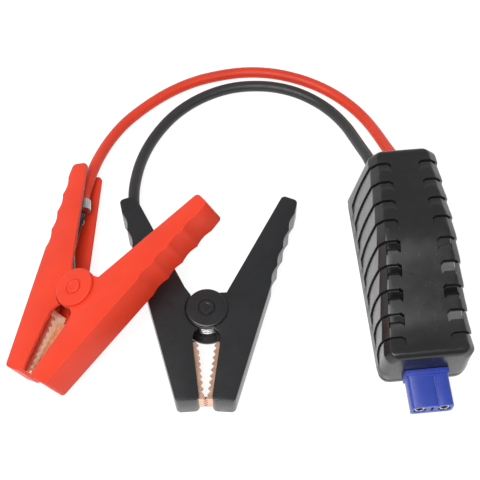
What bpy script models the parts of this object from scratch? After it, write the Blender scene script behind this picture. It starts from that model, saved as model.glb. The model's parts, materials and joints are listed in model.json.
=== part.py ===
"""Jump starter clamp lead set: a ribbed control module with a two-pole connector,
two cables, and a red and a black crocodile clamp with sprung, hinged jaws.

Dimensions are in millimetres until a mesh is made, where they become metres.
The object stands on z = 0, with +X to the right and +Y towards the cable loop.
"""
import math

import bmesh
import bpy
from mathutils import Euler, Matrix, Vector

MM = 0.001
GAP = 0.3                       # clearance between neighbouring pieces
EPS = 0.05                      # overlap that makes two shapes fuse in a union

# Where each unit lies: x, y, z of its own origin, and its turn about Z, Y and X in degrees
CENTRE = (-1.0, -31.2)          # middle of the whole set, which becomes the origin
MODULE_PLACE = (89.0, -77.1, 0.0)
MODULE_TURN = (5.4, 0.0, 0.0)
BLACK_PLACE = (-16.2, -46.5, 8.0)
BLACK_TURN = (0.0, 0.0, 0.0)
RED_PLACE = (-76.0, -41.2, 20.4)
RED_TURN = (-31.8, -24.0, 10.0)

# Control module. Its own frame: +Y runs from the connector end to the cable end.
MODULE_LENGTH = 102.0
HEIGHT_FRONT = 30.6
HEIGHT_REAR = 50.4
RISE_START = 5.0                # the top rises from the front height from here
RISE_END = 64.0                 # to the rear height here
TOP_HALF = (18.9, 12.5)         # half width of the flat top, connector end and cable end
SHOULDER_HALF = (22.0, 16.7)    # half width below the chamfer
FOOT_HALF = (21.8, 22.9)        # half width at the foot
CHAMFER_DROP = 3.9
SEAM_Z = 3.4                    # joint between the lower and upper case
CASE_WALL = 2.6
FRONT_CORNER = 5.0              # corner radius in plan
REAR_CORNER = 4.2
FRONT_EDGE = 3.4                # radius of the top edge
REAR_EDGE = 2.4
GROOVES = 9
GROOVE_FIRST = 94.4             # far edge of the groove nearest the cables
GROOVE_PITCH = 10.44
GROOVE_RUN = 4.6                # a groove's floor rises back out over this length
GROOVE_DEPTH = 1.2
GROOVE_LIP = 0.25               # depth left at the shallow end of the floor
BOSS_TOP = 14.0                 # the screw bosses inside the case end here
GROOVE_FOOT = 6.0               # height at which a groove ends on the side
GROOVE_INNER = (11.0, 6.4)      # half distance between the grooves' ends on the top
STEP_RUN = 0.15                 # length over which a groove wall drops

# Two-pole connector
CONNECTOR_Z = 9.6
CONNECTOR_SIZE = (20.2, 9.4)    # width and height of the body
CONNECTOR_REACH = 18.6          # how far it stands out of the case
FLANGE_SIZE = (21.6, 11.0)
FLANGE_LENGTH = 2.6
POLE_HALF = 5.9                 # half distance between the poles
POLE_HOLE = 3.1
POLE_RADIUS = 2.6
POLE_BORE = 1.8

# Cables
CABLE_RADIUS = 3.0
CABLE_STEP = 11.0               # spacing of the tube's points
EXIT_Z = 22.0
EXIT_X = {"black": -10.4, "red": 2.6}
GLAND_TIP = 107.0
BORE_GAP = 0.3

# Clamp. Its own frame: the pivot is the Z axis, handles point to +Y and jaws to -Y.
CLAMP_HALF = 8.0                # half of the clamp's thickness
PLATE = 1.8                     # thickness of a cover's side plates
WALL = 2.2                      # thickness of a cover's outer wall
HANDLE_END = (38.2, 64.2)       # inner corner of the handle's end
HANDLE_TIP = (46.0, 61.2)       # outer corner of the handle's end
GRIP_TOP = (44.2, 53.6)         # the finger grips run from here
GRIP_FOOT = (31.9, 14.0)        # to here
GRIPS = 4
GRIP_DEPTH = 1.1
HIP = (29.0, 4.0)               # widest point beside the pivot
JAW_OUTER = (13.9, -47.6)
JAW_INNER = (2.9, -46.9)
MOUTH_LOW = (4.7, -33.0)
MOUTH_MID = (6.3, -20.5)
MOUTH_TOP = (6.8, -15.2)
MOUTH_ARCH = (6.0, -12.0)       # the mouth closes round from here to the lugs
LUG_RADIUS = 10.4               # moving arm's upper lug
LOWER_LUG_RADIUS = 12.4         # its lower lug, which closes the mouth underneath
INNER_LUG_RADIUS = 9.0          # fixed arm's lugs, between the moving arm's
CAP_RADIUS = 10.2
TIP_CORNER = 2.3                # corner radii of the outline
HANDLE_CORNER = 2.2
CABLE_MOUTH = [(33.0, 80.0), (46.0, 80.0), (44.6, 61.0)]    # open end of the fixed handle
PIN_RADIUS = 2.5
PIN_HEAD_RADIUS = 4.0
SPRING_RADIUS = 8.4
SPRING_WIRE = 0.8
SPRING_TURNS = 3
SPRING_LEG = 19.5
SPRING_HOOK = ((-33.2, 37.5), (-27.8, 34.4), (-26.4, 28.0))   # its leg's end in the fixed handle
HANDLE_ANGLE = math.radians(34.0)
TOOTH_PITCH = 3.3
TOOTH_DEPTH = 1.4
JAW_HALF = 5.5                  # half height of a copper jaw
SHEET = 1.0                     # thickness of the copper
BITE_GAP = 0.3                  # each front row of teeth stands this far from the middle

# Routes of the cables between the module's gland and the clamp's terminal, before CENTRE
RED_ROUTE = [
    (81.5, 30.0, 22.0), (81.15, 33.6, 22.0), (79.9, 40.0, 19.2), (77.6, 47.8, 15.2),
    (73.4, 60.6, 10.0), (68.6, 71.6, 6.3), (61.5, 82.0, 4.0), (53.2, 90.1, 3.1),
    (45.0, 95.6, 3.0), (36.7, 99.7, 3.0), (28.3, 102.7, 3.0), (19.8, 104.8, 3.0),
    (11.3, 105.8, 3.0), (2.8, 105.8, 3.0), (-5.7, 104.8, 3.0), (-14.1, 103.0, 3.0),
    (-22.6, 100.5, 3.0), (-30.9, 96.9, 3.0), (-39.2, 92.2, 3.0), (-47.4, 86.3, 3.0),
    (-55.5, 79.1, 3.2), (-63.4, 70.2, 4.0), (-70.0, 59.0, 5.8), (-74.6, 47.6, 8.2),
    (-77.0, 38.6, 10.7), (-79.0, 28.8, 12.7), (-80.75, 19.0, 13.88), (-80.55, 15.2, 14.25),
]
BLACK_ROUTE = [
    (68.55, 28.75, 22.0), (68.2, 32.4, 22.0), (66.8, 39.2, 19.2), (64.4, 47.0, 15.4),
    (61.6, 55.5, 11.8), (57.6, 66.0, 8.0), (51.0, 77.0, 4.8), (43.6, 84.8, 3.2),
    (35.8, 89.9, 3.0), (29.2, 92.9, 3.0), (22.5, 94.9, 3.0), (15.7, 96.1, 3.0),
    (9.0, 96.4, 3.0), (2.2, 96.1, 3.0), (-4.5, 95.0, 3.0), (-11.2, 93.0, 3.0),
    (-17.9, 90.1, 3.0), (-24.5, 86.3, 3.0), (-31.1, 81.4, 3.0), (-37.8, 74.8, 3.0),
    (-44.4, 65.8, 3.1), (-49.6, 55.8, 3.7), (-53.4, 44.2, 5.0), (-55.2, 33.6, 6.5),
    (-55.8, 25.0, 7.6), (-55.5, 17.6, 8.0), (-54.4, 9.4, 8.0), (-51.45, 2.9, 8.0),
    (-49.38, -0.22, 8.0),
]
FERRULE_LENGTH = 6.0
FERRULE_RADIUS = 3.5


# ---------------------------------------------------------------- scene helpers
def clear_scene():
    for obj in list(bpy.data.objects):
        bpy.data.objects.remove(obj)


def make_material(name, colour, roughness, metallic=0.0):
    material = bpy.data.materials.new(name)
    material.use_nodes = True
    shader = material.node_tree.nodes["Principled BSDF"]
    shader.inputs["Base Color"].default_value = (*colour, 1.0)
    shader.inputs["Roughness"].default_value = roughness
    shader.inputs["Metallic"].default_value = metallic
    return material


def make_materials():
    return {
        "black_plastic": make_material("black_plastic", (0.035, 0.035, 0.04), 0.45),
        "red_plastic": make_material("red_plastic", (0.85, 0.07, 0.03), 0.4),
        "blue_plastic": make_material("blue_plastic", (0.03, 0.06, 0.42), 0.4),
        "black_rubber": make_material("black_rubber", (0.03, 0.03, 0.035), 0.6),
        "red_rubber": make_material("red_rubber", (0.8, 0.07, 0.03), 0.55),
        "copper": make_material("copper", (0.78, 0.36, 0.18), 0.3, 1.0),
        "steel": make_material("steel", (0.6, 0.6, 0.62), 0.3, 1.0),
        "gold": make_material("gold", (0.85, 0.62, 0.25), 0.25, 1.0),
        "board": make_material("board", (0.02, 0.16, 0.06), 0.5),
        "relay_plastic": make_material("relay_plastic", (0.02, 0.02, 0.025), 0.5),
    }


def make_frame(name, place, turn, parent=None):
    """An empty that carries one unit or one moving arm."""
    frame = bpy.data.objects.new(name, None)
    bpy.context.scene.collection.objects.link(frame)
    if parent:
        frame.parent = parent
        place_centre = (0.0, 0.0)
    else:
        place_centre = CENTRE
    frame.location = Vector((place[0] - place_centre[0], place[1] - place_centre[1], place[2])) * MM
    spin, tilt, roll = (math.radians(angle) for angle in turn)
    frame.rotation_euler = Euler((roll, tilt, spin), "XYZ")
    return frame


# ---------------------------------------------------------------- mesh helpers
def rough_object(bm, name="rough"):
    """Turn a bmesh in millimetres into an object in metres."""
    bmesh.ops.recalc_face_normals(bm, faces=bm.faces)
    for vertex in bm.verts:
        vertex.co *= MM
    mesh = bpy.data.meshes.new(name)
    bm.to_mesh(mesh)
    bm.free()
    obj = bpy.data.objects.new(name, mesh)
    bpy.context.scene.collection.objects.link(obj)
    return obj


def finish(obj, name, material, parent):
    obj.name = name
    obj.data.name = name
    obj.data.materials.clear()
    obj.data.materials.append(material)
    for polygon in obj.data.polygons:
        polygon.use_smooth = True
    obj.data.set_sharp_from_angle(angle=math.radians(35.0))
    obj.parent = parent
    return obj


def combine(target, tool, operation):
    """Apply an exact Boolean of the tool to the target and drop the tool."""
    modifier = target.modifiers.new("shape", "BOOLEAN")
    modifier.operation = operation
    modifier.solver = "EXACT"
    modifier.object = tool
    graph = bpy.context.evaluated_depsgraph_get()
    result = bpy.data.meshes.new_from_object(target.evaluated_get(graph))
    target.modifiers.clear()
    target.data = result
    bpy.data.objects.remove(tool)
    return target


def cut(target, *tools):
    for tool in tools:
        combine(target, tool, "DIFFERENCE")
    return target


def fuse(target, *tools):
    for tool in tools:
        combine(target, tool, "UNION")
    return target


def loft(rings):
    """A closed solid through rings of equal point counts, capped at both ends."""
    bm = bmesh.new()
    loops = [[bm.verts.new(point) for point in ring] for ring in rings]
    count = len(loops[0])
    for low, high in zip(loops, loops[1:]):
        for i in range(count):
            j = (i + 1) % count
            bm.faces.new((low[i], low[j], high[j], high[i]))
    bm.faces.new(loops[0])
    bm.faces.new(reversed(loops[-1]))
    return rough_object(bm)


def prism(outline, z_low, z_high):
    return loft([[(x, y, z) for x, y in outline] for z in (z_low, z_high)])


def prism_along_y(outline, y_low, y_high):
    return loft([[(x, y, z) for x, z in outline] for y in (y_low, y_high)])


def box(x_range, y_range, z_range):
    (x0, x1), (y0, y1) = x_range, y_range
    return prism([(x0, y0), (x1, y0), (x1, y1), (x0, y1)], *z_range)


def circle(radius, centre=(0.0, 0.0), count=32, start=0.0, end=360.0):
    """Points on a circle, or on an arc that keeps both of its ends."""
    whole = abs(end - start) >= 360.0
    steps = count if whole else count - 1
    angles = (math.radians(start + (end - start) * i / steps) for i in range(count))
    return [(centre[0] + radius * math.cos(a), centre[1] + radius * math.sin(a)) for a in angles]


def disc(radius, z_low, z_high, centre=(0.0, 0.0), count=32):
    return prism(circle(radius, centre, count), z_low, z_high)


def rod_along_y(profile, centre_x, centre_z, count=24):
    """A turned piece along Y from (radius, y) pairs."""
    rings = []
    for radius, y in profile:
        ring = circle(radius, (centre_x, centre_z), count)
        rings.append([(x, y, z) for x, z in ring])
    return loft(rings)


def rod_between(start, end, radius, count=16):
    """A plain round rod between two points."""
    start, end = Vector(start), Vector(end)
    turn = (end - start).to_track_quat("Z", "Y").to_matrix()
    rings = []
    for point in (start, end):
        ring = [point + turn @ Vector((x, y, 0.0)) for x, y in circle(radius, count=count)]
        rings.append([tuple(p) for p in ring])
    return loft(rings)


def rounded_box_outline(width, height, radius, centre_z, count=4):
    """A rounded rectangle about (0, centre_z)."""
    points = []
    for corner, (sx, sz) in enumerate(((1, 1), (-1, 1), (-1, -1), (1, -1))):
        middle = (sx * (width / 2 - radius), centre_z + sz * (height / 2 - radius))
        points += circle(radius, middle, count, corner * 90.0, corner * 90.0 + 90.0)
    return points


def smooth_curve(route, step):
    """Evenly spaced points on a centripetal Catmull-Rom curve through the route."""
    points = [Vector(p) for p in route]
    points = [points[0] * 2 - points[1]] + points + [points[-1] * 2 - points[-2]]
    dense = []
    for p0, p1, p2, p3 in zip(points, points[1:], points[2:], points[3:]):
        t1 = (p1 - p0).length ** 0.5
        t2 = t1 + (p2 - p1).length ** 0.5
        t3 = t2 + (p3 - p2).length ** 0.5
        for i in range(16):
            t = t1 + (t2 - t1) * i / 16
            a1 = p0 * ((t1 - t) / t1) + p1 * (t / t1)
            a2 = p1 * ((t2 - t) / (t2 - t1)) + p2 * ((t - t1) / (t2 - t1))
            a3 = p2 * ((t3 - t) / (t3 - t2)) + p3 * ((t - t2) / (t3 - t2))
            b1 = a1 * ((t2 - t) / t2) + a2 * (t / t2)
            b2 = a2 * ((t3 - t) / (t3 - t1)) + a3 * ((t - t1) / (t3 - t1))
            dense.append(b1 * ((t2 - t) / (t2 - t1)) + b2 * ((t - t1) / (t2 - t1)))
    dense.append(points[-2])
    lengths = [0.0]
    for a, b in zip(dense, dense[1:]):
        lengths.append(lengths[-1] + (b - a).length)
    count = max(2, round(lengths[-1] / step))
    result, k = [], 0
    for i in range(count + 1):
        wanted = lengths[-1] * i / count
        while k < len(dense) - 2 and lengths[k + 1] < wanted:
            k += 1
        share = (wanted - lengths[k]) / (lengths[k + 1] - lengths[k])
        result.append(dense[k].lerp(dense[k + 1], share))
    return result


# ---------------------------------------------------------------- control module
def blend(pair, y):
    """A value that changes evenly from the connector end to the cable end."""
    return pair[0] + (pair[1] - pair[0]) * y / MODULE_LENGTH


def top_height(y):
    u = min(1.0, max(0.0, (y - RISE_START) / (RISE_END - RISE_START)))
    return HEIGHT_FRONT + (HEIGHT_REAR - HEIGHT_FRONT) * u * u * (3.0 - 2.0 * u)


def corner_loss(y, front_radius, rear_radius):
    """How far a rounded end pulls the surface in at this place along the case."""
    front = max(0.0, front_radius - y)
    rear = max(0.0, rear_radius - (MODULE_LENGTH - y))
    loss = front_radius - math.sqrt(front_radius ** 2 - front ** 2)
    return loss + rear_radius - math.sqrt(rear_radius ** 2 - rear ** 2)


def case_ring(y, depth):
    """Cross-section of the upper case, with its grooves sunk by depth."""
    side = corner_loss(y, FRONT_CORNER, REAR_CORNER)
    top = top_height(y) - corner_loss(y, FRONT_EDGE, REAR_EDGE)
    foot, shoulder, flat = (blend(pair, y) - side for pair in (FOOT_HALF, SHOULDER_HALF, TOP_HALF))
    inner = min(blend(GROOVE_INNER, y), flat - 1.0)
    drop = top - CHAMFER_DROP
    share = (GROOVE_FOOT - SEAM_Z) / (drop - SEAM_Z)
    waist = foot + (shoulder - foot) * share
    half = [
        (foot, SEAM_Z),
        (waist, GROOVE_FOOT),
        (waist - depth, GROOVE_FOOT + 0.3),
        (shoulder - depth, drop - depth * 0.4),
        (flat - depth * 0.4, top - depth),
        (inner + 0.3, top - depth),
        (inner, top),
    ]
    ring = [(x, y, z) for x, z in half] + [(-x, y, z) for x, z in reversed(half)]
    return ring


def case_stations():
    """Places along the case and the groove depth at each."""
    stations = []
    for y in (0.0, 0.5, 1.4, 2.8, 4.6):
        stations.append((y, 0.0))
    for i in reversed(range(GROOVES)):
        far = GROOVE_FIRST - GROOVE_PITCH * i
        stations.append((far - GROOVE_RUN - STEP_RUN, 0.0))
        stations.append((far - GROOVE_RUN, GROOVE_LIP))
        stations.append((far - STEP_RUN, GROOVE_DEPTH))
        stations.append((far, 0.0))
    stations.sort()
    for rise in (5.0, 3.0, 1.5, 0.5, 0.0):
        stations.append((MODULE_LENGTH - rise, 0.0))
    return stations


def inner_ring(y):
    top = top_height(y) - CASE_WALL - 1.0
    foot = blend(FOOT_HALF, y) - CASE_WALL
    shoulder = blend(SHOULDER_HALF, y) - CASE_WALL - 0.8
    flat = blend(TOP_HALF, y) - CASE_WALL
    half = [(foot, SEAM_Z - 1.0), (shoulder, top - CHAMFER_DROP), (flat, top)]
    return [(x, y, z) for x, z in half] + [(-x, y, z) for x, z in reversed(half)]


def screw_places():
    return [(sx * 16.8, y) for sx in (-1, 1) for y in (9.0, MODULE_LENGTH - 9.0)]


def build_case(frame, materials):
    case = loft([case_ring(y, depth) for y, depth in case_stations()])
    steps = 8
    span = MODULE_LENGTH - 2 * CASE_WALL
    cut(case, loft([inner_ring(CASE_WALL + span * i / steps) for i in range(steps + 1)]))
    for x, y in screw_places():
        fuse(case, disc(3.0, SEAM_Z + 0.2, BOSS_TOP, (x, y), 16))
        cut(case, disc(1.5, SEAM_Z - 1.0, SEAM_Z + 10.0, (x, y), 12))
    hole = rounded_box_outline(
        CONNECTOR_SIZE[0] + 2 * GAP, CONNECTOR_SIZE[1] + 2 * GAP, 2.2, CONNECTOR_Z
    )
    cut(case, prism_along_y(hole, -1.0, CASE_WALL + 1.0))
    for x in EXIT_X.values():
        rear = MODULE_LENGTH
        cut(case, rod_along_y([(4.3, rear - CASE_WALL - 1.0), (4.3, rear + 1.0)], x, EXIT_Z))
    finish(case, "module_upper_case", materials["black_plastic"], frame)


def lid_ring(y, z_low, z_high, inset):
    foot = blend(FOOT_HALF, y) - corner_loss(y, FRONT_CORNER, REAR_CORNER)
    return [(foot - inset, y, z_low), (foot, y, z_high), (-foot, y, z_high), (-foot + inset, y, z_low)]


def build_lower_case(frame, materials):
    places = [0.0, 0.5, 1.5, 3.0, 6.0]
    places += [MODULE_LENGTH - y for y in (7.0, 3.5, 1.6, 0.5, 0.0)]
    lid = loft([lid_ring(y, 0.0, SEAM_Z - GAP, 0.8) for y in places])
    for x, y in screw_places():
        cut(lid, disc(3.0, -1.0, 1.5, (x, y), 20), disc(1.4, 0.0, SEAM_Z + 1.0, (x, y), 16))
    finish(lid, "module_lower_case", materials["black_plastic"], frame)
    for number, (x, y) in enumerate(screw_places(), 1):
        screw = disc(2.5, 0.15, 1.2, (x, y), 20)
        fuse(screw, disc(1.05, 1.0, SEAM_Z + 9.0, (x, y), 12))
        finish(screw, f"module_screw_{number}", materials["steel"], frame)


def build_electronics(frame, materials):
    board = box((-15.5, 15.5), (14.5, 88.0), (7.0, 8.6))
    finish(board, "circuit_board", materials["board"], frame)
    for number, y in enumerate((26.0, 50.0), 1):
        relay = box((-9.5, 9.5), (y, y + 16.0), (8.6 + GAP, 24.0))
        finish(relay, f"relay_{number}", materials["relay_plastic"], frame)
    chip = box((-12.0, -2.0), (74.0, 84.0), (8.6 + GAP, 11.0))
    finish(chip, "control_chip", materials["relay_plastic"], frame)
    capacitor = disc(4.0, 8.6 + GAP, 22.0, (8.0, 78.0), 24)
    finish(capacitor, "capacitor", materials["steel"], frame)
    for name, x in EXIT_X.items():
        terminal = box((x - 3.0, x + 3.0), (90.2, 95.4), (EXIT_Z - 3.5, EXIT_Z + 3.5))
        fuse(terminal, box((x - 2.0, x + 2.0), (86.0, 91.0), (EXIT_Z - 3.4, EXIT_Z - 1.6)))
        fuse(terminal, box((x - 2.0, x + 2.0), (84.8, 86.4), (8.6 + GAP, EXIT_Z - 1.6)))
        finish(terminal, f"{name}_cable_terminal", materials["gold"], frame)


def build_connector(frame, materials):
    width, height = CONNECTOR_SIZE
    body = prism_along_y(rounded_box_outline(width, height, 2.0, CONNECTOR_Z), -CONNECTOR_REACH, 8.0)
    flange = rounded_box_outline(*FLANGE_SIZE, 1.6, CONNECTOR_Z)
    fuse(body, prism_along_y(flange, -GAP - FLANGE_LENGTH, -GAP))
    top = CONNECTOR_Z + height / 2
    groove = box((2.0, 3.2), (-CONNECTOR_REACH - 1.0, -FLANGE_LENGTH - 1.4), (top - 0.9, top + 1.0))
    cut(body, groove)
    key = box((-0.7, 0.7), (-CONNECTOR_REACH - 1.0, -CONNECTOR_REACH + 3.0),
              (CONNECTOR_Z - 2.4, CONNECTOR_Z + 2.4))
    cut(body, key)
    for x in (-POLE_HALF, POLE_HALF):
        hole = [(POLE_HOLE, -CONNECTOR_REACH - 1.0), (POLE_HOLE, 9.0)]
        cut(body, rod_along_y(hole, x, CONNECTOR_Z))
    finish(body, "connector_housing", materials["blue_plastic"], frame)
    for name, x in (("negative", -POLE_HALF), ("positive", POLE_HALF)):
        pole = rod_along_y([(POLE_RADIUS, -CONNECTOR_REACH + 1.2), (POLE_RADIUS, 10.0)], x, CONNECTOR_Z)
        cut(pole, rod_along_y([(POLE_BORE, -CONNECTOR_REACH), (POLE_BORE, -4.0)], x, CONNECTOR_Z))
        finish(pole, f"{name}_contact", materials["gold"], frame)
        bar = box((x - 2.5, x + 2.5), (10.0 + GAP, 21.0), (8.6 + GAP, 10.6))
        finish(bar, f"{name}_bus_bar", materials["copper"], frame)


def build_glands(frame, materials):
    wall_in, wall_out = MODULE_LENGTH - CASE_WALL - GAP, MODULE_LENGTH + GAP
    for name, x in EXIT_X.items():
        profile = [
            (5.2, wall_in - 3.0), (5.2, wall_in), (4.0, wall_in), (4.0, wall_out),
            (5.2, wall_out), (5.2, wall_out + 1.2), (4.0, GLAND_TIP),
        ]
        gland = rod_along_y(profile, x, EXIT_Z, 20)
        finish(gland, f"{name}_cable_gland", materials["black_rubber"], frame)


# ---------------------------------------------------------------- clamps
def grip_points():
    """The outer edge of a handle: shallow finger grips between narrow ridges."""
    start, end = Vector(GRIP_TOP), Vector(GRIP_FOOT)
    along = (end - start) / GRIPS
    inward = Vector((along.y, -along.x)).normalized()
    if inward.x > 0:
        inward = -inward
    points = []
    for grip in range(GRIPS):
        for step in range(5):
            share = step / 5.0
            dip = GRIP_DEPTH * math.sin(math.pi * share)
            points.append(tuple(start + along * (grip + share) + inward * dip))
    points.append(tuple(end))
    return points


def rounded(points, corner, radius, count=4):
    """The outline with one of its corners turned into an arc."""
    before, middle, after = (Vector(points[(corner + k) % len(points)]) for k in (-1, 0, 1))
    back, ahead = (before - middle).normalized(), (after - middle).normalized()
    half = back.angle(ahead) / 2
    centre = middle + (back + ahead).normalized() * radius / math.sin(half)
    first = middle + back * radius / math.tan(half) - centre
    last = middle + ahead * radius / math.tan(half) - centre
    turn = first.angle_signed(last)
    arc = [tuple(centre + Matrix.Rotation(-turn * i / count, 2) @ first) for i in range(count + 1)]
    return points[:corner] + arc + points[corner + 1:]


def arm_outline(hub):
    """Plan of the right arm, whose edge beside the pivot follows the hub points."""
    outer = [HANDLE_END, HANDLE_TIP] + grip_points() + [HIP, JAW_OUTER, JAW_INNER]
    outline = outer + [MOUTH_LOW, MOUTH_MID, MOUTH_TOP, MOUTH_ARCH] + hub
    outline = rounded(outline, len(outer) - 1, TIP_CORNER)
    outline = rounded(outline, len(outer) - 2, TIP_CORNER)
    outline = rounded(outline, 1, HANDLE_CORNER)
    return rounded(outline, 0, HANDLE_CORNER)


def inset_wall():
    """Plan of the space inside the right arm, open towards the other arm."""
    points = [(HANDLE_TIP[0] - WALL - 0.8, HANDLE_TIP[1] - WALL)]
    points += [(GRIP_TOP[0] - WALL - 0.6, GRIP_TOP[1]), (GRIP_FOOT[0] - WALL - 0.8, GRIP_FOOT[1])]
    points.append((HIP[0] - WALL, HIP[1]))
    points += [(JAW_OUTER[0] - WALL - 0.2, JAW_OUTER[1] + WALL)]
    points += [(-6.0, JAW_OUTER[1] + WALL), (-6.0, 20.0), (30.0, HANDLE_END[1] - WALL)]
    return points


def mirrored(points):
    return [(-x, y) for x, y in reversed(points)]


def arm_shell(outline, space):
    """A cover: two side plates joined by the outer wall and the end walls."""
    shell = prism(outline, -CLAMP_HALF, CLAMP_HALF)
    inner = CLAMP_HALF - PLATE
    return cut(shell, prism(space, -inner, inner))


def build_moving_cover(prefix, pivot, material):
    """Right arm, closed at its end, with the two outer lugs."""
    outline = arm_outline([(2.0, -9.2), (0.0, 0.0), (2.0, 8.6), (9.6, 9.0)])
    shell = arm_shell(outline, inset_wall())
    inner = CLAMP_HALF - PLATE
    fuse(shell, disc(LUG_RADIUS, inner, CLAMP_HALF, count=40))
    fuse(shell, disc(LOWER_LUG_RADIUS, -CLAMP_HALF, -inner, count=40))
    cut(shell, disc(PIN_RADIUS + GAP, -9.0, 9.0, count=24))
    cut(shell, disc(PIN_HEAD_RADIUS + GAP, -9.0, -inner - 0.6, count=24))
    finish(shell, f"{prefix}_moving_arm_cover", material, pivot)


def build_fixed_cover(prefix, frame, material):
    """Left arm, open at its end for the cable, with the two inner lugs."""
    reach = LUG_RADIUS + 0.5
    hub = circle(reach, count=17, start=-66.0, end=43.0)
    space = inset_wall()[1:-1] + CABLE_MOUTH
    shell = arm_shell(mirrored(arm_outline(hub + [(11.0, 11.6)])), mirrored(space))
    inner = CLAMP_HALF - PLATE
    cut(shell, disc(LOWER_LUG_RADIUS + 0.5, -9.0, -inner + 0.1, count=40))
    for side, step_start in ((-1, 13.4), (1, 11.4)):
        lug_low, lug_high = sorted((side * (inner - GAP - 1.7), side * (inner - GAP)))
        step_low, step_high = sorted((side * (inner - GAP - 0.6), side * (inner + 0.8)))
        arm = [(4.0, -7.6), (19.0, -6.0), (19.0, 8.0), (6.0, 6.4)]
        step = [(step_start, -5.4), (18.6, -5.4), (18.6, 7.4), (step_start, 7.4)]
        fuse(shell, disc(INNER_LUG_RADIUS, lug_low, lug_high, count=36))
        fuse(shell, prism(mirrored(arm), lug_low, lug_high))
        fuse(shell, prism(mirrored(step), step_low, step_high))
    cut(shell, disc(PIN_RADIUS + GAP, -9.0, 9.0, count=24))
    finish(shell, f"{prefix}_fixed_arm_cover", material, frame)


def tooth_edge():
    """Toothed edge of the right copper jaw, from the back of the mouth to its front."""
    start, end = Vector((5.3, -16.5)), Vector((2.0, -44.6))
    count = round((end - start).length / TOOTH_PITCH)
    along = (end - start) / count
    points = [tuple(start)]
    for tooth in range(count):
        tip = start + along * (tooth + 0.55) + Vector((-TOOTH_DEPTH, 0.0))
        points += [tuple(tip), tuple(start + along * (tooth + 1))]
    return points


def build_jaw(name, parent, side, material):
    """Copper jaw: a web along the cover's mouth, toothed flanges and a toothed front."""
    def facing(points):
        return points if side > 0 else mirrored(points)

    web = [(7.4, -13.2), (5.3, -45.0), (6.3, -45.0), (8.4, -13.2)]
    jaw = prism(facing(web), -JAW_HALF, JAW_HALF)
    flange = [(8.0, -16.5)] + tooth_edge() + [(6.0, -44.6)]
    for low, high in ((JAW_HALF - SHEET, JAW_HALF), (-JAW_HALF, -JAW_HALF + SHEET)):
        fuse(jaw, prism(facing(flange), low, high))
    teeth = 4
    pitch = 2 * JAW_HALF / teeth
    bite = [(side * 5.9, -JAW_HALF), (side * BITE_GAP, -JAW_HALF)]
    for tooth in range(teeth):
        z = -JAW_HALF + pitch * tooth
        bite.append((0.8 + side * BITE_GAP, z + pitch * 0.25))
        bite.append((-0.8 + side * BITE_GAP, z + pitch * 0.75))
    bite += [(side * BITE_GAP, JAW_HALF), (side * 5.9, JAW_HALF)]
    if side > 0:
        bite = list(reversed(bite))
    front = loft([[(x, y, z) for x, z in bite] for y in (-45.4, -44.2)])
    fuse(jaw, front)
    finish(jaw, name, material, parent)


def build_pivot(prefix, frame, materials, plastic):
    top = CLAMP_HALF
    pin = disc(PIN_RADIUS, -top + 0.3, top - 0.2, count=24)
    fuse(pin, disc(PIN_HEAD_RADIUS, -top + 0.1, -top + 0.9, count=24))
    finish(pin, f"{prefix}_pivot_pin", materials["steel"], frame)
    cap = disc(CAP_RADIUS, top + GAP, top + 1.5, count=40)
    fuse(cap, disc(3.5, top + 1.4, top + 2.0, count=24))
    finish(cap, f"{prefix}_pivot_cap", plastic, frame)


def spring_path():
    """Hooked leg in the fixed handle, the coil about the pivot, leg in the moving handle."""
    lean = HANDLE_ANGLE
    start, end = math.pi + lean, 2 * math.pi * SPRING_TURNS + 2 * math.pi - lean
    rise = 2 * SPRING_WIRE + 0.35
    coils = (end - start) / (2 * math.pi)
    steps = round(coils * 16)
    height = rise * coils
    path = []
    for i in range(steps + 1):
        angle = start + (end - start) * i / steps
        path.append(Vector((
            SPRING_RADIUS * math.cos(angle), SPRING_RADIUS * math.sin(angle),
            -height / 2 + height * i / steps,
        )))
    leg_in = Vector((-math.sin(lean), math.cos(lean), 0.0)) * SPRING_LEG
    leg_out = Vector((math.sin(lean), math.cos(lean), 0.0)) * SPRING_LEG
    hook = [Vector((x, y, path[0].z)) for x, y in SPRING_HOOK]
    return hook + [path[0] + leg_in] + path + [path[-1] + leg_out]


def build_spring(prefix, frame, material):
    path = spring_path()
    rings = []
    for i, point in enumerate(path):
        ahead = path[min(i + 1, len(path) - 1)] - path[max(i - 1, 0)]
        across = ahead.cross(Vector((0.0, 0.0, 1.0))).normalized()
        up = across.cross(ahead).normalized()
        ring = [point + across * x + up * y for x, y in circle(SPRING_WIRE, count=8)]
        rings.append([tuple(p) for p in ring])
    finish(loft(rings), f"{prefix}_torsion_spring", material, frame)


def ferrule_ends():
    """Where the crimped ferrule sits in the fixed handle: cable end, then inner end."""
    heading = Vector((math.sin(HANDLE_ANGLE), -math.cos(HANDLE_ANGLE)))
    start = Vector((-33.0, 46.0))
    return start, start + heading * FERRULE_LENGTH


def build_terminal(prefix, frame, material):
    start, end = ferrule_ends()
    ferrule = rod_between((*start, 0.0), (*end, 0.0), FERRULE_RADIUS)
    route = [tuple(end + Vector((-0.5, 1.0))), (-21.0, 17.0), (-14.6, 1.0), (-10.4, -12.8)]
    back = [(x - 1.4, y - 0.4) for x, y in reversed(route)]
    fuse(ferrule, prism(route + back, -1.9, 1.9))
    finish(ferrule, f"{prefix}_clamp_terminal", material, frame)


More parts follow.
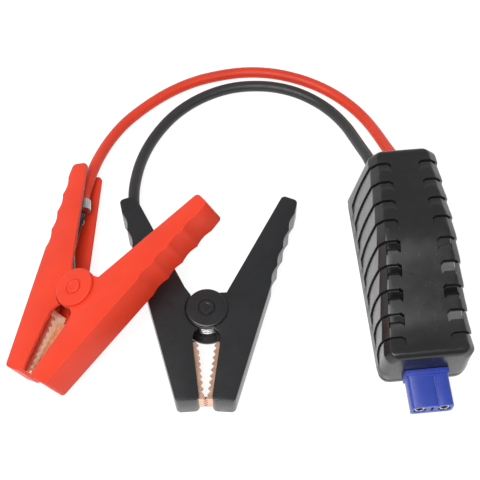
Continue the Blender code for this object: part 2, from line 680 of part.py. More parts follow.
def build_clamp(prefix, place, turn, materials):
    frame = make_frame(f"{prefix}_clamp_frame", place, turn)
    pivot = make_frame(f"{prefix}_pivot_axis", (0.0, 0.0, 0.0), (0.0, 0.0, 0.0), frame)
    plastic = materials[f"{prefix}_plastic"]
    build_fixed_cover(prefix, frame, plastic)
    build_moving_cover(prefix, pivot, plastic)
    build_jaw(f"{prefix}_fixed_jaw", frame, -1, materials["copper"])
    build_jaw(f"{prefix}_moving_jaw", pivot, 1, materials["copper"])
    build_pivot(prefix, frame, materials, plastic)
    build_spring(prefix, frame, materials["steel"])
    build_terminal(prefix, frame, materials["steel"])


# ---------------------------------------------------------------- cables
def build_cable(name, route, material):
    points = [Vector(route[0])] + smooth_curve(route[1:-1], CABLE_STEP) + [Vector(route[-1])]
    curve = bpy.data.curves.new(name, "CURVE")
    curve.dimensions = "3D"
    curve.bevel_depth = CABLE_RADIUS * MM
    curve.bevel_resolution = 3
    curve.use_fill_caps = True
    spline = curve.splines.new("POLY")
    spline.points.add(len(points) - 1)
    for slot, point in zip(spline.points, points):
        slot.co = ((point.x - CENTRE[0]) * MM, (point.y - CENTRE[1]) * MM, point.z * MM, 1.0)
    curve.materials.append(material)
    cable = bpy.data.objects.new(name, curve)
    bpy.context.scene.collection.objects.link(cable)


def build():
    clear_scene()
    materials = make_materials()
    module = make_frame("module_frame", MODULE_PLACE, MODULE_TURN)
    build_case(module, materials)
    build_lower_case(module, materials)
    build_electronics(module, materials)
    build_connector(module, materials)
    build_glands(module, materials)
    build_clamp("black", BLACK_PLACE, BLACK_TURN, materials)
    build_clamp("red", RED_PLACE, RED_TURN, materials)
    build_cable("red_cable", RED_ROUTE, materials["red_rubber"])
    build_cable("black_cable", BLACK_ROUTE, materials["black_rubber"])
    bpy.context.view_layer.update()


build()
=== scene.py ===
"""Looks of the jump starter clamp lead set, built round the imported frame."""

import json
import math

import bmesh
import bpy
from mathutils import Euler, Matrix, Vector


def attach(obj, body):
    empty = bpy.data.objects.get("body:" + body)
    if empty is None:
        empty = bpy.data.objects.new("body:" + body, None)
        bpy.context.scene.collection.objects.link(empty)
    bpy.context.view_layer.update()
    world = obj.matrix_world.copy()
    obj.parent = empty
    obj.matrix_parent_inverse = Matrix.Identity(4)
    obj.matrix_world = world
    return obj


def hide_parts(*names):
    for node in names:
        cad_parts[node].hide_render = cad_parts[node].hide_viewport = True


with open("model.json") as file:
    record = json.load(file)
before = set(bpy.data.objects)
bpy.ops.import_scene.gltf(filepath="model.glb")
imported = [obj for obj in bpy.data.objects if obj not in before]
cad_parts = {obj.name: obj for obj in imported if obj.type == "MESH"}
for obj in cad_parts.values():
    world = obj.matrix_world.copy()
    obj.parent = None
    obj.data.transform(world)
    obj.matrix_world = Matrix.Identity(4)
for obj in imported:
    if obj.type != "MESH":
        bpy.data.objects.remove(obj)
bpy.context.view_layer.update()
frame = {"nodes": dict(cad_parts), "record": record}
MM = 0.001
CENTRE = Vector((-1.0, -31.2, 0.0))     # the layout's own origin, taken off every place below


# ---------------------------------------------------------------- camera
CAMERA_PLACE = (0.0, -261.4, 492.2)     # about 62 degrees above the floor
CAMERA_TARGET = (0.0, 0.0, 0.0)
LENS, SENSOR = 80.0, 36.0


def build_camera():
    data = bpy.data.cameras.new("camera")
    data.lens = LENS
    data.sensor_width = SENSOR
    data.clip_start = 0.01
    camera = bpy.data.objects.new("camera", data)
    bpy.context.scene.collection.objects.link(camera)
    target = Vector(CAMERA_TARGET) - CENTRE
    place = Vector(CAMERA_PLACE) - CENTRE
    camera.location = place * MM
    camera.rotation_euler = (target - place).to_track_quat("-Z", "Y").to_euler()
    bpy.context.scene.camera = camera


build_camera()


# ---------------------------------------------------------------- node helpers
def new_material(name):
    material = bpy.data.materials.new(name)
    material.use_nodes = True
    tree = material.node_tree
    return material, tree, tree.nodes["Principled BSDF"]


def add(tree, kind, **inputs):
    node = tree.nodes.new(kind)
    for key, value in inputs.items():
        node.inputs[key.replace("_", " ")].default_value = value
    return node


def noise(tree, scale, detail):
    coords = tree.nodes.new("ShaderNodeTexCoord")
    texture = add(tree, "ShaderNodeTexNoise", Scale=scale, Detail=detail)
    tree.links.new(coords.outputs["Object"], texture.inputs["Vector"])
    return texture.outputs["Fac"]


def ramp(tree, source, stops):
    node = tree.nodes.new("ShaderNodeValToRGB")
    elements = node.color_ramp.elements
    while len(elements) < len(stops):
        elements.new(0.5)
    for element, (place, colour) in zip(elements, stops):
        element.position = place
        element.color = (*colour, 1.0)
    tree.links.new(source, node.inputs["Fac"])
    return node.outputs["Color"]


def grey(value):
    return (value, value, value)


def mix(tree, factor, first, second):
    node = tree.nodes.new("ShaderNodeMix")
    node.data_type = "RGBA"
    if isinstance(factor, float):
        node.inputs["Factor"].default_value = factor
    else:
        tree.links.new(factor, node.inputs["Factor"])
    for slot, value in (("A", first), ("B", second)):
        socket = [s for s in node.inputs if s.name == slot and s.type == "RGBA"][0]
        if isinstance(value, tuple):
            socket.default_value = (*value, 1.0)
        else:
            tree.links.new(value, socket)
    return [s for s in node.outputs if s.type == "RGBA"][0]


def edge_wear(tree):
    """1 where an edge stands out and 0 on flat ground."""
    geometry = tree.nodes.new("ShaderNodeNewGeometry")
    return ramp(tree, geometry.outputs["Pointiness"], [(0.5, grey(0.0)), (0.6, grey(1.0))])


def bump(tree, shader, height, strength, distance):
    node = add(tree, "ShaderNodeBump", Strength=strength, Distance=distance)
    tree.links.new(height, node.inputs["Height"])
    tree.links.new(node.outputs["Normal"], shader.inputs["Normal"])


def vary(tree, socket, scale, detail, low, high):
    """Noise moves the socket between two colours."""
    tree.links.new(ramp(tree, noise(tree, scale, detail), [(0.3, low), (0.7, high)]), socket)


MOULD_GRAIN = 1800.0
RUBBER_GRAIN = 900.0
METAL_GRAIN = 900.0
WEAR = 0.25                     # how strongly rubbed edges show


def plastic(name, dark, light, rough, grain=MOULD_GRAIN, specular=0.5):
    """Moulded plastic: mottled colour, fine texture in the surface, rubbed edges."""
    material, tree, shader = new_material(name)
    cloud = ramp(tree, noise(tree, 60.0, 4.0), [(0.3, dark), (0.7, light)])
    rubbed = tuple(min(1.0, c * 1.35 + 0.02) for c in light)
    worn = mix(tree, edge_wear(tree), cloud, rubbed)
    tree.links.new(mix(tree, WEAR, cloud, worn), shader.inputs["Base Color"])
    vary(tree, shader.inputs["Roughness"], 220.0, 2.0, grey(rough[0]), grey(rough[1]))
    shader.inputs["Specular IOR Level"].default_value = specular
    bump(tree, shader, noise(tree, grain, 2.0), 0.25, 0.00004)
    return material


def metal(name, dark, light, rough):
    """Bare metal: a faint cloud in its colour and its polish."""
    material, tree, shader = new_material(name)
    shader.inputs["Metallic"].default_value = 1.0
    vary(tree, shader.inputs["Base Color"], 150.0, 4.0, dark, light)
    vary(tree, shader.inputs["Roughness"], 400.0, 3.0, grey(rough[0]), grey(rough[1]))
    bump(tree, shader, noise(tree, METAL_GRAIN, 2.0), 0.03, 0.00002)
    return material


def build_materials():
    """Each finish: its maker, two colours, the roughness range, then any grain and specular."""
    finishes = {
        "module_plastic": (plastic, grey(0.013), grey(0.017), (0.22, 0.28)),
        "black_plastic": (plastic, (0.013, 0.0135, 0.015), (0.017, 0.0175, 0.019), (0.26, 0.32)),
        "red_plastic": (plastic, (0.68, 0.038, 0.012), (0.74, 0.046, 0.015), (0.35, 0.45),
                        MOULD_GRAIN, 0.3),
        "blue_plastic": (plastic, (0.026, 0.052, 0.32), (0.032, 0.062, 0.37), (0.26, 0.34),
                         MOULD_GRAIN, 0.4),
        "black_rubber": (plastic, grey(0.016), grey(0.022), (0.4, 0.5), RUBBER_GRAIN),
        "red_rubber": (plastic, (0.62, 0.035, 0.012), (0.7, 0.045, 0.016), (0.42, 0.52),
                       RUBBER_GRAIN, 0.35),
        # painted shade: a near-black floor for the darker windows of the top's grooves
        "painted_shade_black": (plastic, grey(0.003), grey(0.005), (0.1, 0.14), MOULD_GRAIN, 0.25),
        # painted reflection: a pale grey floor for the lighter windows of the top's grooves
        "painted_reflection_grey": (plastic, grey(0.1), grey(0.13), (0.12, 0.18)),
        "copper": (metal, (0.8, 0.48, 0.33), (0.88, 0.58, 0.44), (0.3, 0.38)),
        "steel": (metal, grey(0.38), grey(0.5), (0.12, 0.2)),
        "contact_gold": (metal, (0.84, 0.78, 0.7), (0.92, 0.88, 0.82), (0.12, 0.2)),
        "board": (plastic, (0.02, 0.14, 0.05), (0.03, 0.18, 0.07), (0.4, 0.5)),
        "relay_plastic": (plastic, grey(0.02), grey(0.03), (0.4, 0.5)),
    }
    return {name: maker(name, *values) for name, (maker, *values) in finishes.items()}


materials = build_materials()
slots = {entry["node"]: entry["material_slot"] for entry in frame["record"]["subparts"]}
body_of_node = {
    node: body for body, nodes in frame["record"]["behaviour"]["bodies"].items() for node in nodes
}


def finish(mesh, node_name):
    """Give a mesh its CAD node's own material."""
    mesh.materials.clear()
    mesh.materials.append(materials[slots[node_name]])


for node_name, node in frame["nodes"].items():
    finish(node.data, node_name)


def declare(piece, node_name):
    """The piece stands for that CAD node: it joins the node's body and the node is hidden."""
    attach(piece, body_of_node[node_name])
    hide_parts(node_name)


def shade(mesh, angle=35.0):
    for polygon in mesh.polygons:
        polygon.use_smooth = True
    mesh.set_sharp_from_angle(angle=math.radians(angle))


def settle(piece, node_name, matrix, angle):
    piece.data.transform(matrix)
    shade(piece.data, angle)
    declare(piece, node_name)


# ---------------------------------------------------------------- softened CAD pieces
def soften(node_name, width, segments=3, least_angle=35.0, pick=None):
    """A copy of the node whose sharp edges are rounded. pick chooses the edges."""
    bm = bmesh.new()
    bm.from_mesh(frame["nodes"][node_name].data)
    bmesh.ops.remove_doubles(bm, verts=bm.verts, dist=1e-6)
    bmesh.ops.dissolve_limit(bm, angle_limit=math.radians(1.0), verts=bm.verts, edges=bm.edges)
    edges = []
    for edge in bm.edges:
        if len(edge.link_faces) != 2:
            continue
        if math.degrees(edge.calc_face_angle(0.0)) < least_angle:
            continue
        if pick is None or pick(edge):
            edges.append(edge)
    bmesh.ops.bevel(
        bm, geom=edges, offset=width * MM, segments=segments, profile=0.5,
        affect="EDGES", clamp_overlap=True, miter_outer="ARC",
    )
    bmesh.ops.triangulate(bm, faces=[f for f in bm.faces if len(f.verts) > 4])
    mesh = bpy.data.meshes.new(node_name + "_soft")
    bm.to_mesh(mesh)
    bm.free()
    piece = bpy.data.objects.new(node_name + "_soft", mesh)
    bpy.context.scene.collection.objects.link(piece)
    shade(mesh)
    finish(mesh, node_name)
    declare(piece, node_name)


# ---------------------------------------------------------------- mesh helpers
def rough_object(bm, name):
    """Turn a bmesh in millimetres into an object in metres."""
    bmesh.ops.recalc_face_normals(bm, faces=bm.faces)
    for vertex in bm.verts:
        vertex.co *= MM
    mesh = bpy.data.meshes.new(name)
    bm.to_mesh(mesh)
    bm.free()
    obj = bpy.data.objects.new(name, mesh)
    bpy.context.scene.collection.objects.link(obj)
    return obj


def loft(rings, name="loft"):
    """A closed solid through rings of equal point counts, capped at both ends."""
    bm = bmesh.new()
    loops = [[bm.verts.new(point) for point in ring] for ring in rings]
    count = len(loops[0])
    for low, high in zip(loops, loops[1:]):
        for i in range(count):
            j = (i + 1) % count
            bm.faces.new((low[i], low[j], high[j], high[i]))
    bm.faces.new(loops[0])
    bm.faces.new(reversed(loops[-1]))
    return rough_object(bm, name)


def cut(target, tool):
    """Apply an exact Boolean difference and drop the tool."""
    modifier = target.modifiers.new("cut", "BOOLEAN")
    modifier.operation = "DIFFERENCE"
    modifier.solver = "EXACT"
    modifier.object = tool
    graph = bpy.context.evaluated_depsgraph_get()
    result = bpy.data.meshes.new_from_object(target.evaluated_get(graph))
    target.modifiers.clear()
    target.data = result
    bpy.data.objects.remove(tool)


def arc(radius, centre, start, end, count):
    """Points on an arc, both ends kept, angles in degrees."""
    angles = [math.radians(start + (end - start) * i / (count - 1)) for i in range(count)]
    return [(centre[0] + radius * math.cos(a), centre[1] + radius * math.sin(a)) for a in angles]


def lathe(profile, count=64):
    """A closed ring or disc about Z from (radius, z) points, first and last joined."""
    rings = []
    for i in range(count):
        angle = 2 * math.pi * i / count
        rings.append([(r * math.cos(angle), r * math.sin(angle), z) for r, z in profile])
    bm = bmesh.new()
    loops = [[bm.verts.new(point) for point in ring] for ring in rings]
    for ring, after in zip(loops, loops[1:] + loops[:1]):
        for i in range(len(profile)):
            j = (i + 1) % len(profile)
            bm.faces.new((ring[i], after[i], after[j], ring[j]))
    bmesh.ops.remove_doubles(bm, verts=bm.verts, dist=1e-5)
    bmesh.ops.dissolve_degenerate(bm, edges=bm.edges, dist=1e-5)
    return rough_object(bm, "lathe")


# ---------------------------------------------------------------- control module
MODULE_PLACE = (89.0, -77.1, 0.0)
MODULE_TURN = 5.4
MODULE_LENGTH = 102.0
HEIGHT = (30.6, 50.4)           # connector end and cable end
RISE = (5.0, 64.0)              # the top rises between these places
TOP_HALF = (18.9, 12.5)
SHOULDER_HALF = (22.0, 16.7)
FOOT_HALF = (21.8, 22.9)
CHAMFER_DROP = 3.9
SEAM_Z = 3.4
CASE_WALL = 2.6
END_CORNER = (5.0, 4.2)         # corner radii in plan
FOOT_CORNER = (5.0, 1.4)
END_EDGE = (3.4, 2.4)           # radii of the top edge
GROOVE_BOW = 1.7                # the grooves bow towards the cable end halfway down the sides
WINDOWS = (4, 5, 6, 7)          # grooves whose top ends are flat-floored windows
# window floors painted dark as shade, by (side, groove)
PAINTED_SHADE_WINDOWS = ((-1, 4), (-1, 5), (-1, 6), (-1, 7), (1, 6))
# window floors painted pale as a reflection, by (side, groove)
PAINTED_REFLECTION_WINDOWS = ((1, 5), (1, 7))
GROOVES = 9
GROOVE_FIRST = 94.4
GROOVE_PITCH = 10.44
STEP_DEPTH = 0.8                # each step of the sides and top
SLOT_DEPTH = 1.9                # the narrow slot at the foot of each step
SLOT_WIDTH = 0.95
GROOVE_FOOT = 9.6
GROOVE_HOOK = 1.1               # the inner end of each top groove turns towards the connector
GROOVE_INNER = (11.0, 6.4)
TOP_RUN = 4.6                   # a groove's floor rises back out over this length on top
SIDE_RUN = 9.9                  # and over this length on the sides
TOP_LIP = 0.3
GROOVE_WALL = 0.18              # a groove's wall slopes over this length
SEAM_INSET = 0.7
SIDE_ROUND = 1.6                # roundings of the section, side to chamfer and chamfer to top
TOP_ROUND = 1.8
PLUG_Z = 9.6
PLUG_OPENING = (20.8, 10.0)     # the hole in the case for the plug housing
PLUG_OPENING_CORNER = 2.2
GLAND_X = (-10.4, 2.6)
GLAND_Z = 22.0
GLAND_HOLE = 4.3
OVERSHOOT = 1.0                 # a cutting tool runs this far past the wall
CONTACT_X = 5.9
CONTACT_PROFILE = [             # (radius, place along the plug), the mouth first
    (1.75, -18.2), (2.1, -18.3), (2.5, -18.1), (2.6, -17.6),
    (2.6, 10.0), (0.0, 10.0), (0.0, -9.0), (1.75, -9.0),
]
CONTACT_SLIT = (0.55, 6.0)      # width and length of each slit across the tube
CONTACT_SLIT_ENDS = (-19.0, -12.0)


def module_matrix():
    place = Matrix.Translation((Vector(MODULE_PLACE) - CENTRE) * MM)
    return place @ Matrix.Rotation(math.radians(MODULE_TURN), 4, "Z")


def along(pair, y):
    """A value that changes evenly from the connector end to the cable end."""
    return pair[0] + (pair[1] - pair[0]) * y / MODULE_LENGTH


def top_height(y):
    u = min(1.0, max(0.0, (y - RISE[0]) / (RISE[1] - RISE[0])))
    return HEIGHT[0] + (HEIGHT[1] - HEIGHT[0]) * u * u * (3.0 - 2.0 * u)


def corner_loss(y, radii):
    """How far a rounded end pulls the surface in at this place along the case."""
    front = max(0.0, radii[0] - y)
    rear = max(0.0, radii[1] - (MODULE_LENGTH - y))
    loss = radii[0] - math.sqrt(radii[0] ** 2 - front ** 2)
    return loss + radii[1] - math.sqrt(radii[1] ** 2 - rear ** 2)


def half_profile(y):
    """Right half of the section, foot to middle: place, outward normal, share of side, grooved."""
    loss = corner_loss(y, END_CORNER)
    top = top_height(y) - corner_loss(y, END_EDGE)
    foot = along(FOOT_HALF, y) - corner_loss(y, FOOT_CORNER)
    shoulder, flat = along(SHOULDER_HALF, y) - loss, along(TOP_HALF, y) - loss
    drop = top - CHAMFER_DROP
    inner = min(along(GROOVE_INNER, y), flat - 1.5)
    lean = math.atan2(foot - shoulder, drop - SEAM_Z)
    side_normal = Vector((math.cos(lean), math.sin(lean)))
    chamfer = Vector((flat - shoulder, CHAMFER_DROP))
    chamfer_normal = Vector((chamfer.y, -chamfer.x)).normalized()
    top_normal = Vector((0.0, 1.0))
    corners = [Vector((shoulder, drop)), Vector((flat, top))]
    start = Vector((foot, SEAM_Z))
    rows = []
    heights = [SEAM_Z, SEAM_Z + 0.6, GROOVE_FOOT - 0.3, GROOVE_FOOT + 0.3, GROOVE_FOOT + 0.8]
    heights += [GROOVE_FOOT + 0.8 + (drop - 2.2 - GROOVE_FOOT - 0.8) * i / 5 for i in range(1, 6)]
    for z in heights:
        share = (z - SEAM_Z) / (drop - SEAM_Z)
        inset = side_normal * (SEAM_INSET if z == SEAM_Z else 0.0)
        rows.append((start.lerp(corners[0], share) - inset, side_normal, 1.0, z > GROOVE_FOOT))
    rows += bend(corners[0], side_normal, chamfer_normal, SIDE_ROUND, 1.0, 0.5)
    middle = corners[0].lerp(corners[1], 0.5)
    rows.append((middle, chamfer_normal, 0.5, True))
    rows += bend(corners[1], chamfer_normal, top_normal, TOP_ROUND, 0.5, 0.0)
    for x in (0.6 * flat + 0.4 * inner, 0.25 * flat + 0.75 * inner, inner + 0.25):
        rows.append((Vector((x, top)), top_normal, 0.0, True))
    for x in (inner - 0.05, 0.5 * inner, 0.0):
        rows.append((Vector((x, top)), top_normal, 0.0, False))
    return rows


def bend(corner, normal_in, normal_out, radius, share_in, share_out, count=5):
    """A rounded corner of the section."""
    angle = normal_in.angle(normal_out)
    centre = corner - (normal_in + normal_out).normalized() * radius / math.cos(angle / 2)
    rows = []
    for i in range(count):
        t = i / (count - 1)
        normal = normal_in * math.sin((1 - t) * angle) + normal_out * math.sin(t * angle)
        normal = normal.normalized()
        share = share_in + (share_out - share_in) * t
        rows.append((centre + normal * radius, normal, share, True))
    return rows


def groove_depth(y, share):
    """Depth of the groove's floor at this place, on the sides (1) or the top (0)."""
    for i in range(GROOVES):
        behind = GROOVE_FIRST - GROOVE_PITCH * i - y
        run = TOP_RUN + (SIDE_RUN - TOP_RUN) * share
        if -1e-6 <= behind <= run:
            wall = min(1.0, behind / GROOVE_WALL)
            lip = TOP_LIP * (1.0 - share)
            slope = lip + (STEP_DEPTH - lip) * (1.0 - behind / run)
            if i in WINDOWS and share < 0.25:
                slope = STEP_DEPTH
            slot = SLOT_DEPTH if behind < SLOT_WIDTH else 0.0
            return wall * max(slope, slot)
    return 0.0


def case_ring(y):
    """One closed section. The grooves' inner ends are drawn back to make their hooks."""
    shoulder = top_height(y) - CHAMFER_DROP
    fade = min(1.0, y / 8.0, (MODULE_LENGTH - y) / 8.0)
    points = []
    rows = half_profile(y)
    turned = half_profile(y - GROOVE_HOOK * fade)
    for k, (place, normal, share, grooved) in enumerate(rows):
        hook = GROOVE_HOOK * fade if k in (len(rows) - 4, len(rows) - 3) else 0.0
        if hook:
            place = turned[k][0]
        depth = groove_depth(y, share) if grooved else 0.0
        spot = place - normal * depth
        rise = min(1.0, max(0.0, (place.y - GROOVE_FOOT) / (shoulder - GROOVE_FOOT)))
        bow = GROOVE_BOW * fade * math.sin(math.pi * rise ** 0.7) - hook
        points.append((spot.x, y + bow, spot.y))
    return points + [(-x, far, z) for x, far, z in reversed(points[:-1])]


def paint_window_shade_and_reflection(mesh):
    """Glossy window floors in the top: painted shade on the dark ones, a painted reflection on the
    pale ones.
    """
    mesh.materials.append(materials["painted_shade_black"])
    mesh.materials.append(materials["painted_reflection_grey"])
    for polygon in mesh.polygons:
        x, y, z = polygon.center / MM
        side = 1 if x > 0 else -1
        flat, inner = along(TOP_HALF, y), along(GROOVE_INNER, y)
        if z < top_height(y) - 1.6 or not inner < abs(x) < flat - 0.3:
            continue
        for groove in WINDOWS:
            behind = GROOVE_FIRST - GROOVE_PITCH * groove - y
            # painted shade on the dark window floors
            if 0.1 < behind < TOP_RUN + 0.1 and (side, groove) in PAINTED_SHADE_WINDOWS:
                polygon.material_index = 1
            # painted reflection on the pale window floors
            if 0.9 < behind < TOP_RUN + 0.1 and (side, groove) in PAINTED_REFLECTION_WINDOWS:
                polygon.material_index = 2


def case_places():
    """Places along the case where a section is taken, close together at each groove wall."""
    eased = [1.0 - math.cos(math.pi / 2 * i / 7) for i in range(8)]
    places = [END_CORNER[0] * share for share in eased]
    places += [MODULE_LENGTH - END_CORNER[1] * share for share in eased]
    for i in range(GROOVES):
        far = GROOVE_FIRST - GROOVE_PITCH * i
        offsets = (0.0, GROOVE_WALL, 0.55, 0.94, 1.05, 2.2, 3.4, TOP_RUN, TOP_RUN + 0.12,
                   6.4, 8.2, SIDE_RUN)
        places += [far - offset for offset in offsets]
    places = sorted({round(y, 4) for y in places if 0.0 <= y <= MODULE_LENGTH})
    return [y for y, after in zip(places, places[1:] + [1e9]) if after - y > 0.05]


def inner_ring(y):
    """Section of the hollow inside the case."""
    top = top_height(y) - CASE_WALL - 1.0
    half = [
        (along(FOOT_HALF, y) - CASE_WALL, SEAM_Z - 1.0),
        (along(SHOULDER_HALF, y) - CASE_WALL - 0.8, top - CHAMFER_DROP),
        (along(TOP_HALF, y) - CASE_WALL, top),
    ]
    return [(x, y, z) for x, z in half] + [(-x, y, z) for x, z in reversed(half)]


def plug_outline():
    """Rounded rectangle round the plug housing, as (x, z)."""
    (width, height), corner = PLUG_OPENING, PLUG_OPENING_CORNER
    outline = []
    for number, (sx, sz) in enumerate(((1, 1), (-1, 1), (-1, -1), (1, -1))):
        centre = (sx * (width / 2 - corner), PLUG_Z + sz * (height / 2 - corner))
        outline += arc(corner, centre, number * 90.0, number * 90.0 + 90.0, 5)
    return outline


def bore(target, outline, ends):
    """Cut a straight hole with that (x, z) outline between two places along the case."""
    cut(target, loft([[(x, y, z) for x, z in outline] for y in ends]))


def build_case():
    case = loft([case_ring(y) for y in case_places()], "module_upper_case_shell")
    span = MODULE_LENGTH - 2 * CASE_WALL
    cut(case, loft([inner_ring(CASE_WALL + span * i / 8) for i in range(9)]))
    bore(case, plug_outline(), (-OVERSHOOT, CASE_WALL + OVERSHOOT))
    for x in GLAND_X:
        hole = arc(GLAND_HOLE, (x, GLAND_Z), 0.0, 352.5, 48)
        bore(case, hole, (MODULE_LENGTH - CASE_WALL - OVERSHOOT, MODULE_LENGTH + OVERSHOOT))
    finish(case.data, "module_upper_case")
    # paints shade and a reflection onto the top's window floors
    paint_window_shade_and_reflection(case.data)
    settle(case, "module_upper_case", module_matrix(), 32.0)


def build_contact(name, x):
    """A split tube just inside the connector's mouth."""
    tube = lathe(CONTACT_PROFILE, 32)
    for wide, high in (CONTACT_SLIT, CONTACT_SLIT[::-1]):
        a, b = wide / 2, high / 2
        ring = [(-a, -b), (a, -b), (a, b), (-a, b)]
        cut(tube, loft([[(*point, z) for point in ring] for z in CONTACT_SLIT_ENDS]))
    lie = Matrix.Translation(Vector((x, 0.0, PLUG_Z)) * MM)
    lie = lie @ Matrix.Rotation(math.radians(-90.0), 4, "X")
    finish(tube.data, name)
    settle(tube, name, module_matrix() @ lie, 30.0)


build_case()
build_contact("negative_contact", -CONTACT_X)
build_contact("positive_contact", CONTACT_X)


# ---------------------------------------------------------------- clamps
# Each clamp's own frame: place of its pivot, then its turn about Z, Y and X in degrees
CLAMPS = {
    "black": ((-16.2, -46.5, 8.0), (0.0, 0.0, 0.0)),
    "red": ((-76.0, -41.2, 20.4), (-31.8, -24.0, 10.0)),
}
CLAMP_HALF = 8.0
CAP_PROFILE = [                 # (radius, height over the clamp's mid-plane): rim, moat and boss
    (0.0, 8.3), (10.2, 8.3), (10.2, 8.8), (10.05, 9.2), (9.7, 9.45), (9.2, 9.5), (4.3, 9.5),
    (4.0, 9.1), (3.6, 9.1), (3.45, 9.8), (3.2, 10.0), (2.2, 10.0), (1.9, 9.8), (0.0, 9.8),
]
SPRING_LEAN = 34.0              # each leg's angle from the clamp's middle line
SPRING_RADIUS = 8.4
SPRING_TURNS = 3
SPRING_PITCH = 1.95
SPRING_LEG = 19.5
SPRING_STEPS = 110
SPRING_HOOK = [                 # the long leg's hooked end, from its tip
    (-33.0, 38.4), (-30.2, 37.6), (-28.5, 35.6), (-28.6, 33.6), (-30.6, 31.6), (-30.2, 27.5),
]
WIRE_RADIUS = 0.62
ARM_EDGE = 1.1                  # rounding of the edges round each arm cover's outer faces


def clamp_matrix(prefix):
    place, (spin, tilt, roll) = CLAMPS[prefix]
    turn = Euler((math.radians(roll), math.radians(tilt), math.radians(spin)), "XYZ")
    return Matrix.Translation((Vector(place) - CENTRE) * MM) @ turn.to_matrix().to_4x4()


def outer_face_edges(prefix):
    """Chooses the edges that run round a clamp's two flat outer faces."""
    back = clamp_matrix(prefix).inverted()

    def pick(edge):
        heights = [abs((back @ vertex.co).z / MM) for vertex in edge.verts]
        return min(heights) > CLAMP_HALF - 0.05

    return pick


def build_cap(prefix):
    """The round cap over the pivot: a soft rim and a small raised boss in a moat."""
    cap = lathe(CAP_PROFILE)
    finish(cap.data, f"{prefix}_pivot_cap")
    settle(cap, f"{prefix}_pivot_cap", clamp_matrix(prefix), 30.0)


def spring_path():
    """Hook, long leg, coils about the pivot and short leg, in the clamp's own frame."""
    lean = math.radians(SPRING_LEAN)
    start, end = math.pi + lean, 2 * math.pi * (SPRING_TURNS + 1) - lean
    height = SPRING_PITCH * (end - start) / (2 * math.pi)
    coil = []
    for i in range(SPRING_STEPS + 1):
        angle, z = start + (end - start) * i / SPRING_STEPS, height * (i / SPRING_STEPS - 0.5)
        coil.append(Vector((SPRING_RADIUS * math.cos(angle), SPRING_RADIUS * math.sin(angle), z)))
    legs = [Vector((side * math.sin(lean), math.cos(lean), 0.0)) * SPRING_LEG for side in (-1, 1)]
    hook = [Vector((x, y, coil[0].z)) for x, y in SPRING_HOOK]
    return hook + [coil[0] + legs[0]] + coil + [coil[-1] + legs[1]]


def build_spring(prefix):
    """The spring's wire, swept along its path."""
    path = spring_path()
    rings = []
    for i, point in enumerate(path):
        ahead = path[min(i + 1, len(path) - 1)] - path[max(i - 1, 0)]
        across = ahead.cross(Vector((0.0, 0.0, 1.0))).normalized()
        up = across.cross(ahead).normalized()
        ring = arc(WIRE_RADIUS, (0.0, 0.0), 0.0, 324.0, 10)
        rings.append([tuple(point + across * a + up * b) for a, b in ring])
    spring = loft(rings, f"{prefix}_torsion_spring_wire")
    finish(spring.data, f"{prefix}_torsion_spring")
    settle(spring, f"{prefix}_torsion_spring", clamp_matrix(prefix), 45.0)


for clamp in CLAMPS:
    for arm in ("fixed", "moving"):
        soften(f"{clamp}_{arm}_arm_cover", ARM_EDGE, pick=outer_face_edges(clamp))
    build_cap(clamp)
    build_spring(clamp)
soften("connector_housing", 0.35, 2)
soften("module_lower_case", 0.8, 2)


# ---------------------------------------------------------------- cables
RED_ROUTE = [
    (81.5, 30.0, 22.0), (81.15, 33.6, 22.0), (79.9, 40.0, 19.2), (77.6, 47.8, 15.2),
    (73.4, 60.6, 10.0), (68.6, 71.6, 6.3), (61.5, 82.0, 4.0), (53.2, 90.1, 3.1),
    (45.0, 95.6, 3.0), (36.7, 99.7, 3.0), (28.3, 102.7, 3.0), (19.8, 104.8, 3.0),
    (11.3, 105.8, 3.0), (2.8, 105.8, 3.0), (-5.7, 104.8, 3.0), (-14.1, 103.0, 3.0),
    (-22.6, 100.5, 3.0), (-30.9, 96.9, 3.0), (-39.2, 92.2, 3.0), (-47.4, 86.3, 3.0),
    (-55.5, 79.1, 3.2), (-63.4, 70.2, 4.0), (-70.0, 59.0, 5.8), (-74.6, 47.6, 8.2),
    (-77.0, 38.6, 10.7), (-79.0, 28.8, 12.7), (-80.75, 19.0, 13.88), (-80.55, 15.2, 14.25),
]
BLACK_ROUTE = [
    (68.55, 28.75, 22.0), (68.2, 32.4, 22.0), (66.8, 39.2, 19.2), (64.4, 47.0, 15.4),
    (61.6, 55.5, 11.8), (57.6, 66.0, 8.0), (51.0, 77.0, 4.8), (43.6, 84.8, 3.2),
    (35.8, 89.9, 3.0), (29.2, 92.9, 3.0), (22.5, 94.9, 3.0), (15.7, 96.1, 3.0),
    (9.0, 96.4, 3.0), (2.2, 96.1, 3.0), (-4.5, 95.0, 3.0), (-11.2, 93.0, 3.0),
    (-17.9, 90.1, 3.0), (-24.5, 86.3, 3.0), (-31.1, 81.4, 3.0), (-37.8, 74.8, 3.0),
    (-44.4, 65.8, 3.1), (-49.6, 55.8, 3.7), (-53.4, 44.2, 5.0), (-55.2, 33.6, 6.5),
    (-55.8, 25.0, 7.6), (-55.5, 17.6, 8.0), (-54.4, 9.4, 8.0), (-51.45, 2.9, 8.0),
    (-49.38, -0.22, 8.0),
]
CABLE_DIAMETER = 6.0
CABLE_STEP = 3.5                # spacing of the curve's points
CURVE_STEPS = 16                # fine steps between two points of a route


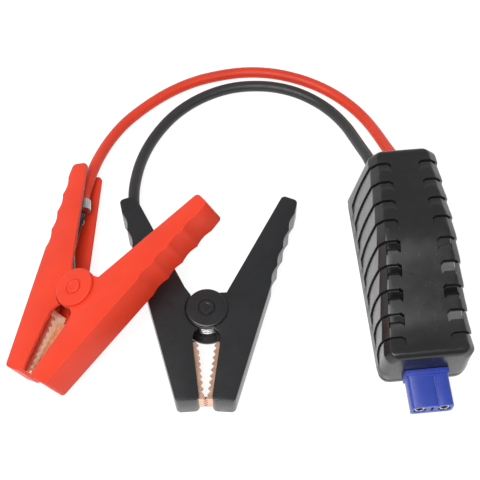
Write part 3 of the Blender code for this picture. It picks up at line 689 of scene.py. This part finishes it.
def smooth_curve(route, step):
    """Evenly spaced points on a centripetal Catmull-Rom curve through the route."""
    points = [Vector(p) for p in route]
    points = [points[0] * 2 - points[1]] + points + [points[-1] * 2 - points[-2]]
    dense = []
    for p0, p1, p2, p3 in zip(points, points[1:], points[2:], points[3:]):
        t1 = (p1 - p0).length ** 0.5
        t2 = t1 + (p2 - p1).length ** 0.5
        t3 = t2 + (p3 - p2).length ** 0.5
        for i in range(CURVE_STEPS):
            t = t1 + (t2 - t1) * i / CURVE_STEPS
            a1 = p0 * ((t1 - t) / t1) + p1 * (t / t1)
            a2 = p1 * ((t2 - t) / (t2 - t1)) + p2 * ((t - t1) / (t2 - t1))
            a3 = p2 * ((t3 - t) / (t3 - t2)) + p3 * ((t - t2) / (t3 - t2))
            b1 = a1 * ((t2 - t) / t2) + a2 * (t / t2)
            b2 = a2 * ((t3 - t) / (t3 - t1)) + a3 * ((t - t1) / (t3 - t1))
            dense.append(b1 * ((t2 - t) / (t2 - t1)) + b2 * ((t - t1) / (t2 - t1)))
    dense.append(points[-2])
    lengths = [0.0]
    for a, b in zip(dense, dense[1:]):
        lengths.append(lengths[-1] + (b - a).length)
    count = max(2, round(lengths[-1] / step))
    result, k = [], 0
    for i in range(count + 1):
        wanted = lengths[-1] * i / count
        while k < len(dense) - 2 and lengths[k + 1] < wanted:
            k += 1
        share = (wanted - lengths[k]) / (lengths[k + 1] - lengths[k])
        result.append(dense[k].lerp(dense[k + 1], share))
    return result


def build_cable(name, route, slot):
    """A round cable, straight over its first and last step and smooth between."""
    points = [Vector(route[0])] + smooth_curve(route[1:-1], CABLE_STEP) + [Vector(route[-1])]
    curve = bpy.data.curves.new(name, "CURVE")
    curve.dimensions = "3D"
    curve.bevel_depth = CABLE_DIAMETER / 2 * MM
    curve.bevel_resolution = 6
    curve.use_fill_caps = True
    spline = curve.splines.new("POLY")
    spline.points.add(len(points) - 1)
    for entry, point in zip(spline.points, points):
        entry.co = (*((point - CENTRE) * MM), 1.0)
    curve.materials.append(materials[slot])
    cable = bpy.data.objects.new(name, curve)
    bpy.context.scene.collection.objects.link(cable)
    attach(cable, "root")
    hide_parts(name.replace("_lead", ""))


build_cable("red_cable_lead", RED_ROUTE, "red_rubber")
build_cable("black_cable_lead", BLACK_ROUTE, "black_rubber")


# ---------------------------------------------------------------- floor and light
FLOOR_HALF = 40.0
KEY_PLACE = (-0.22, -0.4, 0.9)
KEY_SIZE = (0.8, 0.8)
KEY_POWER = 11.5


def build_floor():
    """A plain pale floor that glows a little, so that shadows stay faint."""
    size = FLOOR_HALF
    mesh = bpy.data.meshes.new("floor")
    corners = [(-size, -size, 0.0), (size, -size, 0.0), (size, size, 0.0), (-size, size, 0.0)]
    mesh.from_pydata(corners, [], [(0, 1, 2, 3)])
    floor = bpy.data.objects.new("floor", mesh)
    bpy.context.scene.collection.objects.link(floor)
    material, _, shader = new_material("floor")
    shader.inputs["Base Color"].default_value = (0.25, 0.25, 0.25, 1.0)
    shader.inputs["Roughness"].default_value = 0.8
    shader.inputs["Emission Color"].default_value = (1.0, 1.0, 1.0, 1.0)
    shader.inputs["Emission Strength"].default_value = 0.85
    mesh.materials.append(material)


def area_light(name, place, target, size, power):
    data = bpy.data.lights.new(name, "AREA")
    data.shape = "RECTANGLE"
    data.size, data.size_y = size
    data.energy = power
    data.specular_factor = 0.35
    light = bpy.data.objects.new(name, data)
    light.location = place
    light.rotation_euler = (Vector(target) - Vector(place)).to_track_quat("-Z", "Y").to_euler()
    bpy.context.scene.collection.objects.link(light)


def build_lights():
    """Bright near the horizon, darker overhead and in front, and one soft key light."""
    world = bpy.data.worlds.new("studio")
    world.use_nodes = True
    tree = world.node_tree
    background = tree.nodes["Background"]
    coords = tree.nodes.new("ShaderNodeTexCoord")
    split = tree.nodes.new("ShaderNodeSeparateXYZ")
    tree.links.new(coords.outputs["Generated"], split.inputs["Vector"])
    sky = ramp(tree, split.outputs["Z"], [(0.0, grey(1.0)), (0.35, grey(0.8)), (0.85, grey(0.3))])
    turned = add(tree, "ShaderNodeMapRange", From_Min=-0.7, From_Max=0.1)
    tree.links.new(split.outputs["Y"], turned.inputs["Value"])
    tree.links.new(mix(tree, turned.outputs["Result"], grey(0.12), sky), background.inputs["Color"])
    background.inputs["Strength"].default_value = 1.0
    bpy.context.scene.world = world
    area_light("key", KEY_PLACE, (0.0, 0.0, 0.0), KEY_SIZE, KEY_POWER)


build_floor()
build_lights()
bpy.context.scene.view_settings.view_transform = "Standard"
